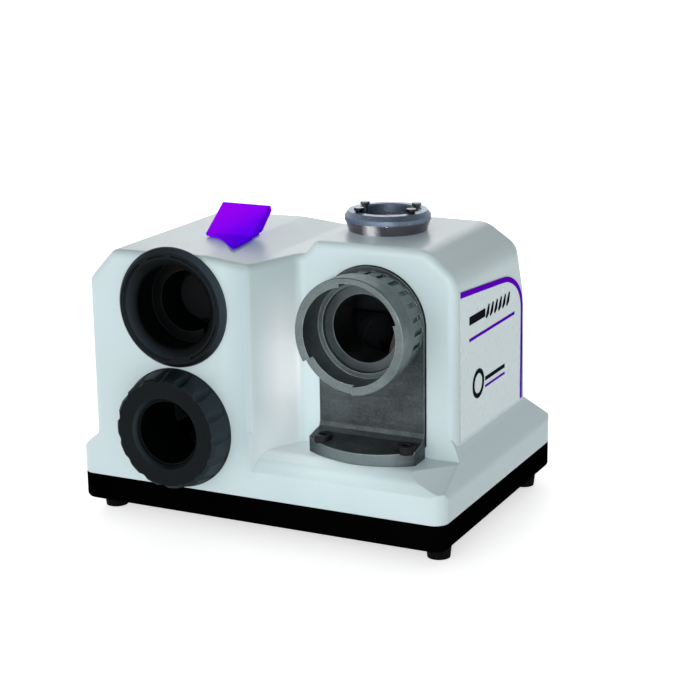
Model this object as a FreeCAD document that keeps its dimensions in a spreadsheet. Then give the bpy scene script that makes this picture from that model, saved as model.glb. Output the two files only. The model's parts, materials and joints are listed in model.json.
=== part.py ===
import FreeCAD, Part
import os
import math
import Sketcher
from FreeCAD import Vector, Rotation, Placement

# Drill bit sharpener, bench type, for twist drills up to about 28 mm held in a collet chuck.
# Frame: +Z up, X to the right seen from the front, the front faces -Y.
# Origin: the middle of the bounding box, at the plane the feet stand on.
# All sizes in millimetres, kept in the spreadsheet "Sheet".

doc = FreeCAD.newDocument("drill_bit_sharpener")
sheet = doc.addObject("Spreadsheet::Sheet", "Sheet")


class Q:
    """A number that also remembers the spreadsheet expression it comes from."""

    def __init__(self, val, txt):
        self.val = float(val)
        self.txt = txt

    def __add__(self, o):
        return Q(self.val + num(o), "(%s + %s)" % (self.txt, txt(o)))

    def __radd__(self, o):
        return Q(num(o) + self.val, "(%s + %s)" % (txt(o), self.txt))

    def __sub__(self, o):
        return Q(self.val - num(o), "(%s - %s)" % (self.txt, txt(o)))

    def __rsub__(self, o):
        return Q(num(o) - self.val, "(%s - %s)" % (txt(o), self.txt))

    def __mul__(self, o):
        return Q(self.val * num(o), "(%s * %s)" % (self.txt, txt(o)))

    def __rmul__(self, o):
        return Q(self.val * num(o), "(%s * %s)" % (txt(o), self.txt))

    def __truediv__(self, o):
        return Q(self.val / num(o), "(%s / %s)" % (self.txt, txt(o)))

    def __neg__(self):
        return Q(-self.val, "(0 - %s)" % self.txt)


def num(q):
    return q.val if isinstance(q, Q) else float(q)


def txt(q):
    if isinstance(q, Q):
        return q.txt
    v = float(q)
    return "%.6g" % v if v >= 0 else "(0 - %.6g)" % -v


class Dims:
    pass


D = Dims()
_row = [0]


def dim(alias, value, note):
    _row[0] += 1
    sheet.set("A%d" % _row[0], note)
    sheet.set("B%d" % _row[0], "%.6g" % value)
    sheet.setAlias("B%d" % _row[0], alias)
    setattr(D, alias, Q(value, "Sheet.%s" % alias))


# ---------------------------------------------------------------- driving dimensions
dim("base_width", 340, "base width, X")
dim("base_depth", 250, "base depth, Y")
dim("front_shift", 10.5, "base centre behind the origin")
dim("foot_height", 13, "rubber feet")
dim("tray_top", 36.5, "top of the black tray")
dim("skirt_top", 57.6, "top of the upright white skirt")
dim("corner_radius", 12, "plan corner radius")
dim("cover_wall", 3.2, "cover wall")
dim("left_wall", 153.4, "left tower wall, distance from centre")
dim("right_wall", 160.3, "right tower wall, distance from centre")
dim("left_foot", 71.7, "height where the left wall starts")
dim("right_foot", 86.4, "height where the right wall starts")
dim("roof_left", 236.2, "left tower roof")
dim("roof_right", 246.9, "right tower roof")
dim("tower_face", 77.3, "right tower front face, in front of base centre")
dim("ledge_back", 75.0, "ledge height at the tower face")
dim("seat_x", 89.1, "point seat centre X")
dim("seat_z", 183.7, "point seat centre Z")
dim("seat_rim", 47.9, "point seat rim radius")
dim("seat_bore", 28.2, "point seat bore radius")
dim("gauge_x", -71.2, "setting gauge centre X")
dim("gauge_z", 192.3, "setting gauge centre Z")
dim("gauge_rim", 50.8, "setting gauge rim radius")
dim("relief_z", 88.9, "relief seat centre Z")
dim("relief_flange", 51.4, "relief seat flange radius")
dim("relief_knob", 46.8, "fluted collar radius")
dim("relief_bore", 27.5, "relief seat bore radius")
dim("top_x", 69.4, "top seat centre X")
dim("top_y", -7.2, "top seat centre Y")
dim("top_radius", 36.2, "top seat radius")
dim("motor_y", 14, "motor axis behind base centre")
dim("motor_z", 126, "motor axis height")
dim("motor_radius", 40, "motor can radius")
dim("shaft_radius", 6, "rotor shaft radius")
dim("wheel_radius", 48, "grinding wheel radius")
dim("screw_gap", 0.1, "radial gap round a screw shank")
doc.recompute()

W2 = D.base_width / 2
D2 = D.base_depth / 2
FACE = -D2            # front plane of the left tower
TF = -D.tower_face    # front plane of the right tower
NODES = []


def bind(obj, prop, q):
    if isinstance(q, Q):
        obj.setExpression(prop, q.txt)


def place(obj, x, y, z, rot=None):
    y = y + D.front_shift
    obj.Placement = Placement(Vector(num(x), num(y), num(z)), rot or Rotation())
    bind(obj, "Placement.Base.x", x)
    bind(obj, "Placement.Base.y", y)
    bind(obj, "Placement.Base.z", z)
    return obj


ROT = {"z": Rotation(), "y": Rotation(Vector(1, 0, 0), -90), "x": Rotation(Vector(0, 1, 0), 90)}


def box(x0, y0, z0, x1, y1, z1, name="block"):
    o = doc.addObject("Part::Box", name)
    for prop, a, b in (("Length", x0, x1), ("Width", y0, y1), ("Height", z0, z1)):
        d = b - a
        setattr(o, prop, num(d))
        bind(o, prop, d)
    return place(o, x0, y0, z0)


def cyl(r, length, x, y, z, axis="z", name="round"):
    o = doc.addObject("Part::Cylinder", name)
    o.Radius = num(r)
    o.Height = num(length)
    bind(o, "Radius", r)
    bind(o, "Height", length)
    return place(o, x, y, z, ROT[axis])


def cone(r1, r2, length, x, y, z, axis="z", name="taper"):
    o = doc.addObject("Part::Cone", name)
    o.Radius1, o.Radius2, o.Height = num(r1), num(r2), num(length)
    bind(o, "Radius1", r1)
    bind(o, "Radius2", r2)
    bind(o, "Height", length)
    return place(o, x, y, z, ROT[axis])


def fuse(*objs):
    if len(objs) == 1:
        return objs[0]
    o = doc.addObject("Part::MultiFuse", "joined")
    o.Shapes = list(objs)
    return o


def common(*objs):
    o = doc.addObject("Part::MultiCommon", "shared")
    o.Shapes = list(objs)
    return o


def cut(base, *tools):
    o = doc.addObject("Part::Cut", "trimmed")
    o.Base = base
    o.Tool = fuse(*tools)
    return o


def polygon(body, pts, plane, offset):
    """A closed polygon sketch whose corners are tied to the sheet."""
    sk = body.newObject("Sketcher::SketchObject", "profile")
    for f in body.Origin.OriginFeatures:
        if f.Role == plane:
            sk.AttachmentSupport = [(f, "")]
    sk.MapMode = "FlatFace"
    sk.AttachmentOffset = Placement(Vector(0, 0, num(offset)), Rotation())
    bind(sk, "AttachmentOffset.Base.z", offset)
    n = len(pts)
    P = [Vector(num(a), num(b), 0) for a, b in pts]
    sk.addGeometry([Part.LineSegment(P[i], P[(i + 1) % n]) for i in range(n)], False)
    for i in range(n):
        sk.addConstraint(Sketcher.Constraint("Coincident", i, 2, (i + 1) % n, 1))
    for i, (a, b) in enumerate(pts):
        for kind, other, v in (("DistanceX", -2, a), ("DistanceY", -1, b)):
            if abs(num(v)) < 1e-9:
                sk.addConstraint(Sketcher.Constraint("PointOnObject", i, 1, other))
                continue
            c = sk.addConstraint(Sketcher.Constraint(kind, -1, 1, i, 1, num(v)))
            bind(sk, "Constraints[%d]" % c, v)
    return sk


def prism(plane, pts, lo, hi):
    """A straight prism. plane xz runs along Y, yz along X, xy along Z."""
    body = doc.addObject("PartDesign::Body", "prism")
    role = {"xy": "XY_Plane", "xz": "XZ_Plane", "yz": "YZ_Plane"}[plane]
    off = -hi if plane == "xz" else lo
    sk = polygon(body, pts, role, off)
    pad = body.newObject("PartDesign::Pad", "pad")
    pad.Profile = sk
    d = hi - lo
    pad.Length = num(d)
    bind(pad, "Length", d)
    body.Tip = pad
    return place(body, 0, 0, 0)


def turned(pts, axis, x, y, z):
    """A turned piece. pts are (radius, distance along the axis)."""
    body = doc.addObject("PartDesign::Body", "turned")
    if axis == "z":
        sk = polygon(body, pts, "XZ_Plane", 0)
        ref = "V_Axis"
    elif axis == "y":
        sk = polygon(body, pts, "XY_Plane", 0)
        ref = "V_Axis"
    else:
        sk = polygon(body, [(b, a) for a, b in pts], "XY_Plane", 0)
        ref = "H_Axis"
    rev = body.newObject("PartDesign::Revolution", "revolution")
    rev.Profile = sk
    rev.ReferenceAxis = (sk, [ref])
    rev.Angle = 360
    body.Tip = rev
    return place(body, x, y, z)


def rounded(obj, picks):
    """picks: list of (test(middle, direction, length), radius); middle is given about the base centre."""
    doc.recompute()
    found = []
    for i, e in enumerate(obj.Shape.Edges):
        a, b = e.firstVertex().Point, e.lastVertex().Point
        m = e.valueAt((e.FirstParameter + e.LastParameter) / 2)
        m = Vector(m.x, m.y - D.front_shift.val, m.z)
        d = (b - a)
        d = d.normalize() if d.Length > 1e-6 else Vector(0, 0, 0)
        for test, r in picks:
            if test(m, d, e.Length):
                found.append((i + 1, r, r))
                break
    o = doc.addObject("Part::Fillet", "rounded")
    o.Base = obj
    o.Edges = found
    doc.recompute()
    if "Invalid" in o.State or o.Shape.isNull() or not o.Shape.isValid():
        print("fillet failed on", obj.Name, "edges", len(found))
        doc.removeObject(o.Name)
        return None
    return o


def node(obj, name):
    obj.Label = name
    NODES.append(obj)
    return obj


def upright(d):
    return abs(d.z) > 0.98


# ---------------------------------------------------------------- base tray
T0 = D.foot_height
tray_blank = rounded(box(-W2, -D2, T0, W2, D2, D.tray_top),
                     [(lambda m, d, n: upright(d), D.corner_radius.val)])
tray_blank = rounded(tray_blank, [(lambda m, d, n: abs(m.z - T0.val) < 0.01, 4.0)]) or tray_blank
hollow = rounded(box(-W2 + 5, -D2 + 5, T0 + 4, W2 - 5, D2 - 5, D.tray_top + 5),
                 [(lambda m, d, n: upright(d), 7.0)])
corners = [(sx * (W2 - 10.5), sy * (D2 - 10.5)) for sx in (-1, 1) for sy in (-1, 1)]
chassis_xy = [(-118, -78), (118, -62), (-118, 55), (118, 62)]
bosses = [cyl(7, D.tray_top - T0 - 1, x, y, T0 + 1) for x, y in corners]
bosses += [cyl(8, D.tray_top - T0 - 1, x, y, T0 + 1) for x, y in chassis_xy]
tray = fuse(cut(tray_blank, hollow), *bosses)
holes = []
for x, y in corners:
    holes += [cyl(2.1 + D.screw_gap, 40, x, y, T0 - 1), cyl(4.4, 13, x, y, T0 - 1)]
for x, y in chassis_xy:
    holes += [cyl(2.5, 14, x, y, D.tray_top - 14)]
feet_xy = [(sx * (W2 - 16), sy * (D2 - 29)) for sx in (-1, 1) for sy in (-1, 1)]
for x, y in feet_xy:
    holes += [cyl(2.1, 6, x, y, T0 - 1)]
node(cut(tray, *holes), "base_tray")

feet = [cone(9.5, 11, D.foot_height, x, y, 0) for x, y in feet_xy]
foot_holes = [f for x, y in feet_xy for f in (cyl(2.6, 20, x, y, -1), cyl(4.4, 8, x, y, -1))]
node(cut(fuse(*feet), *foot_holes), "rubber_feet")
node(fuse(*[s for x, y in feet_xy for s in (cyl(2.0, 13.9, x, y, 4), cyl(4.0, 2.6, x, y, 4.3))]), "foot_screws")

# ---------------------------------------------------------------- cover
RW, LW = D.right_wall, D.left_wall
DF, DB = FACE, D2


def soft_edges(obj, spots, axis):
    """Round the long edges of a prism. spots: (first, second, radius) in the profile's plane."""
    def tester(p, q):
        def t(m, d, n):
            if abs(getattr(d, axis)) < 0.99:
                return False
            u = {"y": (m.x, m.z), "x": (m.y, m.z), "z": (m.x, m.y)}[axis]
            return abs(u[0] - num(p)) < 0.3 and abs(u[1] - num(q)) < 0.3
        return t
    return rounded(obj, [(tester(p, q), r) for p, q, r in spots]) or obj


roof_profile = [(RW, 30), (RW, D.roof_right - 21.4), (RW - 26.1, D.roof_right), (35.0, D.roof_right),
                (25.5, D.roof_left - 0.7), (-2.0, D.roof_left - 3.2), (-43.0, D.roof_left + 1.0),
                (-LW + 23.8, D.roof_left - 0.6), (-LW, D.roof_left - 26.4), (-LW, 30)]
t_roof = soft_edges(prism("xz", roof_profile, -D2 - 10, D2 + 10),
                    [(RW, D.roof_right - 21.4, 22), (RW - 26.1, D.roof_right, 20), (35.0, D.roof_right, 5), (25.5, D.roof_left - 0.7, 4),
                     (-2.0, D.roof_left - 3.2, 20), (-43.0, D.roof_left + 1.0, 40), (-LW + 23.8, D.roof_left - 0.6, 10),
                     (-LW, D.roof_left - 26.4, 10)], "y")
back_profile = [(-D2 - 10, 20), (82.0, 20), (80.2, D.right_foot), (74.5, 190.0), (56.2, D.roof_right - 8), (54.0, D.roof_right + 6),
                (-D2 - 10, D.roof_right + 6)]
t_back = soft_edges(prism("yz", back_profile, -W2, W2),
                    [(74.5, 190.0, 60), (56.2, D.roof_right - 8, 12)], "x")
t_plan = soft_edges(prism("xy", [(-LW, DF), (-2.0, DF), (22.0, TF), (RW, TF), (RW, D2), (-LW, D2)], D.tray_top, 300),
                    [(-2.0, DF, 6), (22.0, TF, 9)], "z")



def leaning_back(y0, z0, slope, radius):
    """An upright block with rounded rear corners, leaned forward so its rear face follows one part of the back."""
    body = prism("xy", [(-LW, -400), (RW, -400), (RW, 0), (-LW, 0)], -300, 300)
    r = soft_edges(body, [(-LW, 0, radius), (RW, 0, radius)], "z")
    lean = Placement(Vector(0, y0, z0), Rotation(Vector(1, 0, 0), math.degrees(math.atan(slope))))
    shift = Placement(Vector(0, D.front_shift.val, 0), Rotation())
    o = doc.addObject("Part::Feature", "leaning_block")
    doc.recompute()
    o.Shape = r.Shape.copy()
    o.Placement = shift.multiply(lean).multiply(shift.inverse())
    return o


t_rear1 = leaning_back(80.2, 86.4, (80.2 - 74.5) / (190.0 - 86.4), 4)
t_rear2 = leaning_back(74.5, 190.0, (74.5 - 56.2) / (D.roof_right.val - 8 - 190.0), 6)
tower = common(t_plan, t_roof, t_back, t_rear1, t_rear2)
doc.recompute()
RWv, LWv, TFv = RW.val, LW.val, -D.tower_face.val


tower_soft = tower
skirt_front = soft_edges(prism("xz", [(-W2, D.tray_top), (W2, D.tray_top), (W2, D.skirt_top), (RW, D.right_foot), (RW - 3, D.right_foot + 6),
                                      (-LW + 26.0, D.right_foot + 6), (-LW, D.left_foot), (-W2, D.skirt_top)], -D2, D2),
                         [(W2, D.skirt_top, 14), (-W2, D.skirt_top, 8)], "y")
skirt_side = soft_edges(prism("yz", [(-D2, D.tray_top), (D2, D.tray_top), (D2, D.skirt_top), (80.2, D.right_foot), (70.0, D.right_foot + 6),
                                     (-D2, D.right_foot + 6)], -W2, W2),
                        [(D2, D.skirt_top, 12)], "x")
skirt_plan = rounded(box(-W2, -D2, D.tray_top, W2, D2, 120), [(lambda m, d, n: upright(d), D.corner_radius.val)])
skirt = common(skirt_front, skirt_side, skirt_plan)
notch_plan = prism("xy", [(-9.6, -D2 - 15), (W2 + 30, -D2 - 15), (W2 + 30, TF), (22.0, TF)], 30, 300)
notch_side = soft_edges(prism("yz", [(-D2 - 15, 40.0), (-D2, 59.5), (-119.5, 68.6), (-110.0, D.ledge_back - 0.8), (TF, D.ledge_back),
                                     (-60.0, D.ledge_back + 1.6), (-60.0, 300), (-D2 - 15, 300)], -30, W2 + 40),
                        [(-D2, 59.5, 8), (-119.5, 68.6, 12), (-110.0, D.ledge_back - 0.8, 16)], "x")
notch = common(notch_plan, notch_side)
ramp_normal = Vector(213.3, -240.1, 766.7)
ramp = doc.addObject("Part::Box", "ramp")
ramp.Length, ramp.Width, ramp.Height = 400, 400, 60
rr = Rotation(Vector(0, 0, 1), ramp_normal)
ramp.Placement = Placement(Vector(151.5, -118.0 + D.front_shift.val, 67.2) - rr.multVec(Vector(200, 200, 0)), rr)
corner_cut = common(ramp, box(120, -D2 - 20, 50, W2 + 20, TF, 100))
skirt = cut(skirt, notch, corner_cut)
doc.recompute()
print("tower", round(tower_soft.Shape.Volume), tower_soft.Shape.isValid(), "skirt", round(skirt.Shape.Volume), skirt.Shape.isValid())


def top_edge(m, d, n):
    """The outline of each tower's front face: up the outer corner and along the roof."""
    if upright(d):
        return (abs(m.x + LWv) < 0.1 and abs(m.y - DF.val) < 0.1) or (abs(m.x - RWv) < 0.1 and abs(m.y - TFv) < 0.1)
    front = (abs(m.y - DF.val) < 0.6 and m.z > 200) or (abs(m.y - TFv) < 0.6 and m.z > 215 and m.x > 25) or \
            (m.z > 225 and -6 < m.x < 30 and -127 < m.y < TFv + 1 and abs(d.z) < 0.4)
    return front


rounds = None
for rad in (7.0, 6.0, 5.0, 4.0):
    rounds = rounded(tower_soft, [(top_edge, rad)])
    if rounds is not None:
        print("front edges rounded", rad)
        break
soft = fuse(rounds or tower_soft, skirt)
shell_solid = soft
# the hollow inside: the same walls moved in by the wall thickness
cw = D.cover_wall
in_roof = prism("xz", [(RW - cw, 20), (RW - cw, D.roof_right - 21.4 - 1.3), (RW - 26.1 - 1.3, D.roof_right - cw), (35.0 + 1.0, D.roof_right - cw),
                       (25.5 + 1.0, D.roof_left - 0.7 - cw), (-2.0, D.roof_left - 3.2 - cw), (-43.0, D.roof_left + 1.0 - cw),
                       (-LW + 23.8 + 1.4, D.roof_left - 0.6 - cw), (-LW + cw, D.roof_left - 26.4 - 1.4), (-LW + cw, 20)], -D2, D2)
in_back = prism("yz", [(-D2, 20), (78.8, 20), (77.0, D.right_foot), (71.3, 188.0), (53.0, D.roof_right - 9), (51.0, D.roof_right + 6),
                       (-D2, D.roof_right + 6)], -W2, W2)
in_plan = soft_edges(prism("xy", [(-LW + cw, DF + cw), (-4.0, DF + cw), (20.0, TF + cw), (RW - cw, TF + cw), (RW - cw, D2 - 1), (-LW + cw, D2 - 1)],
                           20, 300), [(-LW + cw, DF + cw, 5), (-4.0, DF + cw, 3), (RW - cw, TF + cw, 7)], "z")
in_tower = common(in_roof, in_back, in_plan)
in_front = prism("xz", [(-W2 + cw, 20), (W2 - cw, 20), (W2 - cw, D.skirt_top - 1.6), (RW - cw, D.right_foot - 1.0), (RW - cw - 3, D.right_foot + 4),
                        (-LW + 26.0, D.right_foot + 3), (-LW + cw, D.left_foot - 1.5), (-W2 + cw, D.skirt_top - 1.8)], -D2 + cw, D2 - cw)
in_side = prism("yz", [(-D2 + cw, 20), (D2 - cw, 20), (D2 - cw, D.skirt_top - 1.8), (78.2, D.right_foot - 2.4), (60.0, D.right_foot + 3),
                       (-D2 + cw, D.right_foot + 3)], -W2, W2)
in_plan2 = rounded(box(-W2 + cw, -D2 + cw, 10, W2 - cw, D2 - cw, 120), [(lambda m, d, n: upright(d), D.corner_radius.val - 3.0)])
in_skirt = common(in_front, in_side, in_plan2)
in_notch = prism("yz", [(-D2 - 15, 36.0), (-D2 + 3.0, 57.0), (-118.0, 65.0), (-109.5, D.ledge_back - 4.4), (TF + cw, D.ledge_back - cw),
                        (TF + cw, 300), (-D2 - 15, 300)], -60, W2 + 40)
in_notch = common(in_notch, prism("xy", [(-11.6, -D2 - 10), (W2 + 30, -D2 - 10), (W2 + 30, TF + cw), (20.0, TF + cw), (-4.0, DF + cw)], 20, 300))
in_ramp = doc.addObject("Part::Box", "ramp_inside")
in_ramp.Length, in_ramp.Width, in_ramp.Height = 400, 400, 60
in_ramp.Placement = Placement(ramp.Placement.Base - rr.multVec(Vector(0, 0, cw.val)), rr)
in_corner = common(in_ramp, box(120, -D2 - 20, 40, W2 + 20, TF + cw, 100))
in_skirt = cut(in_skirt, in_notch, in_corner)
inner = fuse(in_tower, in_skirt)
doc.recompute()
print("cover outer", round(soft.Shape.Volume), soft.Shape.isValid(), "inner", round(inner.Shape.Volume), inner.Shape.isValid())
shell = cut(soft, inner)
# posts inside the cover for its four screws
posts = common(fuse(*[cyl(8, 14, x, y, D.tray_top) for x, y in corners]), skirt)
AX = D.seat_x
AB = AX - 2.3          # middle of the bracket
BR = D.seat_rim - 0.6  # radius of the bracket's rounded top
arch = fuse(cyl(BR + 0.8, 30, AB, TF - 12, D.seat_z, "y"),
            box(AB - BR - 0.8, TF - 12, 74.0, AB + BR + 0.8, TF + 18, D.seat_z))
arch = cut(arch, box(0, TF - 20, 60, 200, TF + 30, 84.0))
openings = [arch,
            cyl(37.4, 40, D.gauge_x, FACE - 15, D.gauge_z, "y"),
            cyl(38.2, 40, D.gauge_x, FACE - 15, D.relief_z, "y"),
            cyl(31.2, 30, D.top_x, D.top_y, D.roof_right - 20, "z"),
            box(-78.2, -50.0, D.roof_left - 10, -42.8, -31.4, D.roof_left + 10)]
# screw holes of the bracket in the ledge, cover screw holes, rear inlet and rear vents
screw_xy = [(50.4, -95.8), (125.4, -95.8)]
openings += [cyl(4.6, 30, x, y, 55, "z") for x, y in screw_xy]
openings += [cyl(1.95, 21.2, x, y, D.tray_top - 6) for x, y in corners]
openings += [box(96.2, 60, 110.2, 124.0, 100, 158.0)] + [cyl(1.8, 40, 110.1, 60, zc, "y") for zc in (107.2, 161.0)]
openings += [box(-124 + 12 * k, 60, 112, -119 + 12 * k, 100, 158) for k in range(9)]
shell = cut(fuse(shell, posts), *openings)
node(shell, "housing_cover")

node(fuse(*[s for x, y in corners for s in (cyl(4.2, 3.4, x, y, T0 + 8.5), cyl(1.9, 26.4, x, y, T0 + 11.9))]),
     "cover_screws")

# foam dust filter behind the rear vents
node(box(-127, 67.5, 108, -20, 71.5, 162), "vent_filter")

# flat sheet label on the right wall
label = prism("yz", [(-67.5, 89.5), (71.0, 88.5), (70.6, 178.0), (62.0, 190.5), (50.0, 200.0), (30.0, 206.2), (-69.8, 214.4)], RW, RW + 0.5)
label = rounded(label, [(lambda m, d, n: abs(d.x) > 0.9 and m.y > 20 and m.z > 150, 20.0)]) or label
node(label, "side_label")

# ---------------------------------------------------------------- point seat bracket and collar
PF = TF - 2.2         # bracket plate front plane
PB = TF + 6.0         # bracket plate back plane
plate = fuse(cyl(BR, PB - PF, AB, PF, D.seat_z, "y"),
             box(AB - BR, PF, 84.2, AB + BR, PB, D.seat_z))
shelf_side = prism("yz", [(-114.0, D.ledge_back - 1.6), (-110.0, D.ledge_back - 0.75), (PF + 1, D.ledge_back + 0.04), (PF + 1, 90.4), (PF, 90.4), (-114.0, 83.0)],
                   AB - BR - 2.0, AB + BR)
shelf = common(shelf_side, cyl(86.0, 60, AB, -26.0, 50, "z"))
shelf = rounded(shelf, [(lambda m, d, n: upright(d) and m.x > 100 and m.y < -85, 3.0), (lambda m, d, n: upright(d) and m.x < 60 and m.y < -85, 3.0)]) or shelf
gusset = prism("yz", [(PF + 0.5, 88.0), (PF + 0.5, 96.0), (PF, 96.0), (PF - 1.4, 92.6), (PF - 5.5, 89.0), (PF - 5.5, 87.0)],
               AB - BR, AB + BR)
bracket = fuse(plate, shelf, gusset)
br_holes = [cyl(36.2, 30, AX, PF - 10, D.seat_z, "y")]
br_holes += [cyl(4.3, 60, x, y, 60, "z") for x, y in screw_xy]
br_holes += [cyl(8.1, 30, x, y, 84.0, "z") for x, y in screw_xy]
node(cut(bracket, *br_holes), "angle_bracket")
node(fuse(*[s for x, y in screw_xy for s in (cut(cyl(7.7, 6.6, x, y, 84.05), cyl(3.6, 5, x, y, 87.2)),
                                            cyl(4.0, 34.0, x, y, 50.2))]), "bracket_screws")

RIM = TF - 48.0
sr = D.seat_rim
collar = turned([(40.6, RIM), (sr - 0.8, RIM), (sr, RIM + 0.8), (sr - 0.2, RIM + 18), (sr - 1.6, RIM + 20),
                 (sr - 3.6, PF), (36.4, PF), (36.4, RIM + 27), (40.6, RIM + 27)], "y", AX, 0, D.seat_z)
# rim: cut back between the lower left and the bottom, thin between the top left and the right
seg_a = cut(common(cyl(50, 6.5, AX, RIM - 0.5, D.seat_z, "y"),
                   prism("xz", [(AX, D.seat_z), (AX - 70, D.seat_z - 42), (AX - 70, D.seat_z - 90), (AX + 4, D.seat_z - 90)],
                         RIM - 2, RIM + 20)), cyl(30, 30, AX, RIM - 2, D.seat_z, "y"))
seg_b = cut(common(cyl(43.2, 12, AX, RIM - 0.5, D.seat_z, "y"),
                   prism("xz", [(AX, D.seat_z), (AX - 12, D.seat_z + 60), (AX + 60, D.seat_z + 60), (AX + 60, D.seat_z + 20)],
                         RIM - 2, RIM + 20)), cyl(30, 30, AX, RIM - 2, D.seat_z, "y"))
slots = []
for k in range(12):
    a = math.radians(-14 + 14.5 * k)
    s = doc.addObject("Part::Box", "slot")
    s.Length, s.Width, s.Height = 10, 18, 4.6
    rot = Rotation(Vector(0, 1, 0), -math.degrees(a))
    base = Vector(AX.val + 41.4 * math.cos(a), PF.val - 20.5 + D.front_shift.val, D.seat_z.val + 41.4 * math.sin(a)) - rot.multVec(Vector(0, 0, 2.3))
    s.Placement = Placement(base, rot)
    slots.append(s)
node(cut(collar, seg_a, seg_b, *slots), "point_seat_collar")
sleeve = turned([(D.seat_bore, RIM + 30), (36.2, RIM + 30), (36.2, PB + 8), (38.0, PB + 8), (38.0, PB + 11),
                 (D.seat_bore, PB + 11)], "y", AX, 0, D.seat_z)
node(sleeve, "point_seat_sleeve")
node(turned([(36.3, PB + 0.1), (42, PB + 0.1), (42, PB + 7.9), (36.3, PB + 7.9)], "y", AX, 0, D.seat_z), "point_seat_lock_ring")
node(fuse(*[cut(cyl(9, 26.5, x, y, 40.5), cyl(4.05, 30, x, y, 50)) for x, y in screw_xy]), "bracket_posts")

# ---------------------------------------------------------------- setting gauge, upper left
GX, GZ = D.gauge_x, D.gauge_z
gr = D.gauge_rim
cup = turned([(41.8, FACE - 6.0), (gr - 3.6, FACE - 6.0), (gr - 0.6, FACE - 2.6), (gr, FACE - 0.8), (gr, FACE), (37.2, FACE),
              (37.2, FACE + 62), (0, FACE + 62), (0, FACE + 58),
              (26.0, FACE + 58), (26.0, FACE + 24), (35.0, FACE + 24), (35.0, FACE + 1.0), (36.2, FACE - 0.6)],
             "y", GX, 0, GZ)
groove = []
for a0, a1 in ((8, 44), (50, 88), (94, 118), (128, 168), (176, 222), (228, 268), (292, 348)):
    ring = cut(cyl(45.2, 3.2, GX, FACE - 6.2, GZ, "y"), cyl(43.3, 3.6, GX, FACE - 6.4, GZ, "y"))
    pts = [(GX, GZ)]
    for k in range(4):
        t = math.radians(a0 + (a1 - a0) * k / 3.0)
        pts.append((GX + 60 * math.cos(t), GZ + 60 * math.sin(t)))
    groove.append(common(ring, prism("xz", pts, FACE - 8, FACE)))
keyways = [box(GX + 14, FACE + 22, GZ - 34.0, GX + 19, FACE + 40, GZ - 18), box(GX + 26, FACE + 22, GZ - 24.0, GX + 31, FACE + 40, GZ - 12)]
node(cut(cup, *(groove + keyways)), "setting_gauge_cup")
node(turned([(0, FACE + 46), (20, FACE + 46), (20, FACE + 50), (8, FACE + 50), (8, FACE + 57.9), (0, FACE + 57.9)], "y", GX, 0, GZ),
     "gauge_stop")
node(turned([(37.25, FACE + D.cover_wall + 0.1), (39.8, FACE + D.cover_wall + 0.1), (39.8, FACE + D.cover_wall + 9),
             (37.25, FACE + D.cover_wall + 9)], "y", GX, 0, GZ), "gauge_lock_ring")

# ---------------------------------------------------------------- relief seat, lower left
LZ = D.relief_z
fr = D.relief_flange
flange = turned([(D.relief_bore - 0.5, FACE - 2.2), (fr - 0.5, FACE - 2.2), (fr, FACE - 1.7), (fr, FACE), (38.0, FACE), (38.0, FACE + 40),
                 (D.relief_bore - 0.5, FACE + 40)], "y", GX, 0, LZ)
flange_all = fuse(flange, turned([(D.relief_bore - 0.5, FACE - 15.8), (33.8, FACE - 15.8), (33.8, FACE - 2.0), (D.relief_bore - 0.5, FACE - 2.0)],
                                 "y", GX, 0, LZ))
node(flange_all, "relief_seat_flange")
node(turned([(38.1, FACE + D.cover_wall + 0.1), (43.5, FACE + D.cover_wall + 0.1), (43.5, FACE + D.cover_wall + 9),
             (38.1, FACE + D.cover_wall + 9)], "y", GX, 0, LZ), "relief_lock_ring")

# fluted collar: a tapered body with flutes along its whole side, turned on the flange's spigot
KF = FACE - 21.0
KR = FACE - 2.4
KN = D.relief_knob
SPREAD = 4.0           # growth of the radius from the front to the back
knob = turned([(20, KF), (KN, KF), (KN + SPREAD, KR), (20, KR)], "y", GX, 0, LZ)
flutes = []
lean = math.atan((SPREAD + 1.9) / (KR.val - KF.val))    # the flutes run out towards the back
for k in range(15):
    a = math.radians(24 * k)
    along = Vector(math.cos(a) * math.sin(lean), math.cos(lean), math.sin(a) * math.sin(lean))
    f = doc.addObject("Part::Cylinder", "flute")
    f.Radius, f.Height = 6.6, 34
    start = Vector(GX.val + (KN.val + 4.4) * math.cos(a), KF.val + D.front_shift.val, LZ.val + (KN.val + 4.4) * math.sin(a)) - along * 6
    f.Placement = Placement(start, Rotation(Vector(0, 0, 1), along))
    flutes.append(f)
knob_bore = turned([(0, KF - 1), (D.relief_bore + 4.6, KF - 1), (D.relief_bore + 3.6, KF), (D.relief_bore, KF + 4.2),
                    (D.relief_bore, KF + 5.0), (34.1, KF + 5.0), (34.1, FACE), (0, FACE)], "y", GX, 0, LZ)
edge_trim = turned([(D.relief_knob - 1.8, KF - 1), (60, KF - 1), (60, KF + 10), (D.relief_knob + 0.6, KF + 2.4), (D.relief_knob - 1.8, KF - 0.0)],
                   "y", GX, 0, LZ)
node(cut(knob, knob_bore, edge_trim, *flutes), "fluted_collar")

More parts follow.
